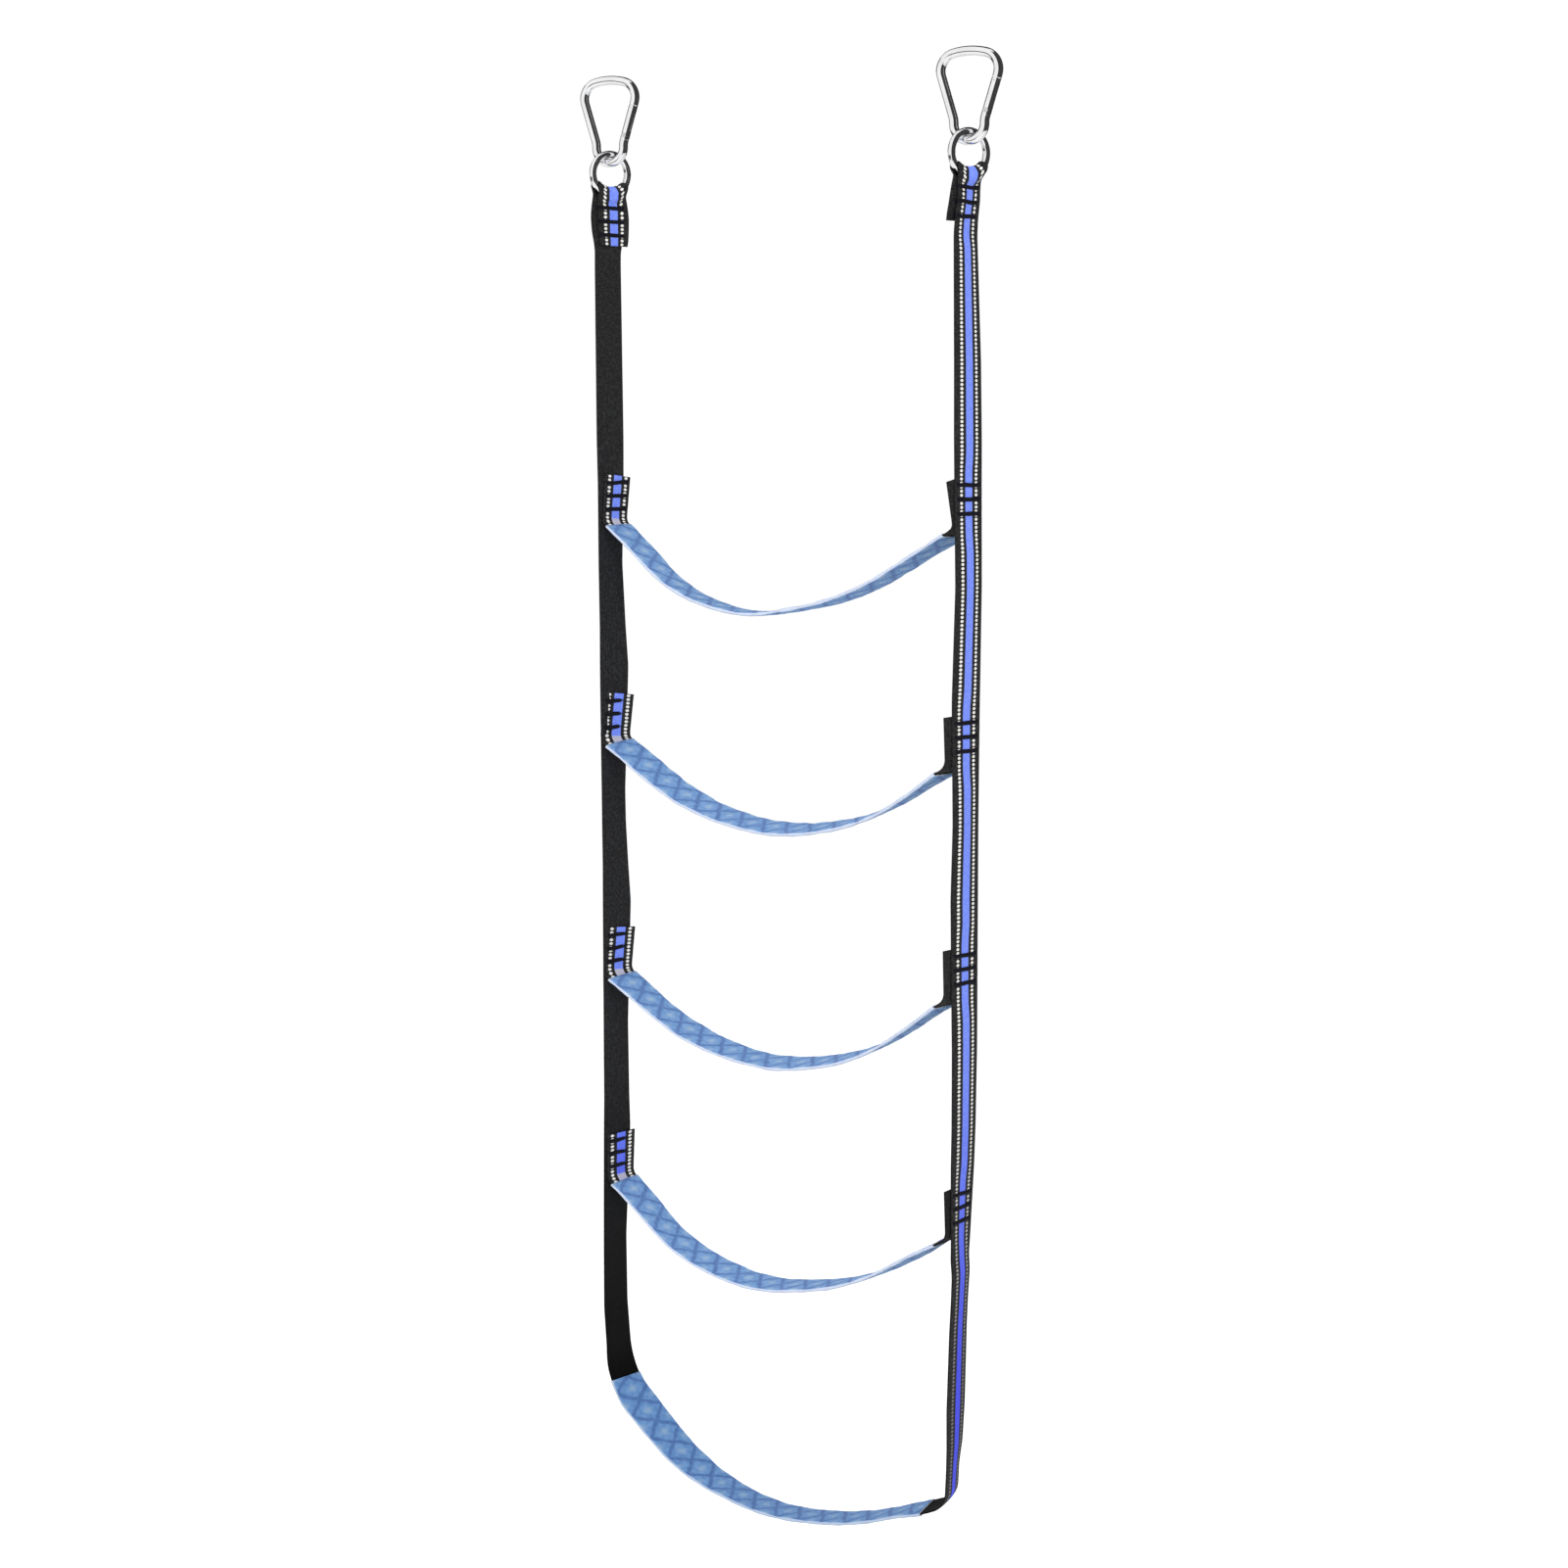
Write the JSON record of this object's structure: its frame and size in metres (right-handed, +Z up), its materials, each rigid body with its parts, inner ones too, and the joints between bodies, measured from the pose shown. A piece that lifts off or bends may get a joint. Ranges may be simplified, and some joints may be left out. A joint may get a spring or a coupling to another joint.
{
  "type": "escape rope ladder",
  "caption": "Escape ladder of black webbing: side straps joined by sewn, sagging webbing rungs in blue fabric sleeves, hung from spring snap hooks by steel rings.",
  "frame": {"origin": "half way between the two hooks, on the line that an anchor bar bears on inside the hook bows", "axes": "+Z up along the hanging ladder, +X across it towards the right hook, +Y through it towards the wall"},
  "size_m": [0.5532, 0.0496, 1.5932],
  "materials": {
    "strap_webbing": "black ribbed synthetic webbing with a blue stripe and two reflective lines woven into its outer face",
    "rung_webbing": "the same webbing, striped face up",
    "sleeve_fabric": "light blue woven sleeve with a darker blue diamond lattice",
    "thread": "black bar-tack thread",
    "ring_steel": "polished, plated",
    "hook_steel": "polished, plated",
    "gate_steel": "polished, plated",
    "pin_steel": "plain",
    "spring_steel": "plain"
  },
  "bodies": {
    "hooks": {"left_hook_body": "hook_steel", "right_hook_body": "hook_steel"},
    "ladder": {"main_strap": "strap_webbing", "rung_strap_1": "rung_webbing", "rung_strap_2": "rung_webbing", "rung_strap_3": "rung_webbing", "rung_strap_4": "rung_webbing", "rung_sleeve_1": "sleeve_fabric", "rung_sleeve_2": "sleeve_fabric", "rung_sleeve_3": "sleeve_fabric", "rung_sleeve_4": "sleeve_fabric", "rung_sleeve_5": "sleeve_fabric", "left_loop_tacks": "thread", "right_loop_tacks": "thread", "left_tacks_1": "thread", "left_tacks_2": "thread", "left_tacks_3": "thread", "left_tacks_4": "thread", "right_tacks_1": "thread", "right_tacks_2": "thread", "right_tacks_3": "thread", "right_tacks_4": "thread"},
    "left_ring": {"left_ring": "ring_steel"},
    "right_ring": {"right_ring": "ring_steel"},
    "left_gate": {"left_gate": "gate_steel", "left_gate_rivet": "pin_steel", "left_nose_pin": "pin_steel", "left_gate_spring": "spring_steel"},
    "right_gate": {"right_gate": "gate_steel", "right_gate_rivet": "pin_steel", "right_nose_pin": "pin_steel", "right_gate_spring": "spring_steel"},
    "left_plunger": {"left_gate_plunger": "pin_steel"},
    "right_plunger": {"right_gate_plunger": "pin_steel"}
  },
  "joints": [
    {"name": "ladder_swing", "type": "hinge", "parent": "hooks", "child": "ladder", "pos_m": [0, 0, -0.085], "axis": [1, 0, 0], "range_deg": [-30, 30]},
    {"name": "left_ring_turn", "type": "hinge", "parent": "ladder", "child": "left_ring", "pos_m": [-0.2406, 0, -0.0976], "axis": [0.9397, -0.342, 0], "continuous": true},
    {"name": "right_ring_turn", "type": "hinge", "parent": "ladder", "child": "right_ring", "pos_m": [0.2406, 0, -0.0976], "axis": [0.9397, -0.342, 0], "continuous": true},
    {"name": "left_gate_open", "type": "hinge", "parent": "hooks", "child": "left_gate", "pos_m": [-0.22131, 0.0041, -0.05542], "axis": [0.2079, -0.9781, 0], "range_deg": [0, 28], "stiffness_Nm_per_rad": 0.15, "springref_deg": -20.05},
    {"name": "right_gate_open", "type": "hinge", "parent": "hooks", "child": "right_gate", "pos_m": [0.25989, 0.0041, -0.05542], "axis": [0.2079, -0.9781, 0], "range_deg": [0, 28], "stiffness_Nm_per_rad": 0.15, "springref_deg": -20.05},
    {"name": "left_plunger_slide", "type": "slide", "parent": "left_gate", "child": "left_plunger", "axis": [0.2954, 0.0628, 0.9533], "range_m": [0, 0.00048]},
    {"name": "right_plunger_slide", "type": "slide", "parent": "right_gate", "child": "right_plunger", "axis": [0.2954, 0.0628, 0.9533], "range_m": [0, 0.00048]}
  ],
  "couplings": [
    {"joint": "left_plunger_slide", "follows": "left_gate_open", "m_per_rad": 0.00096},
    {"joint": "right_plunger_slide", "follows": "right_gate_open", "m_per_rad": 0.00096}
  ]
}
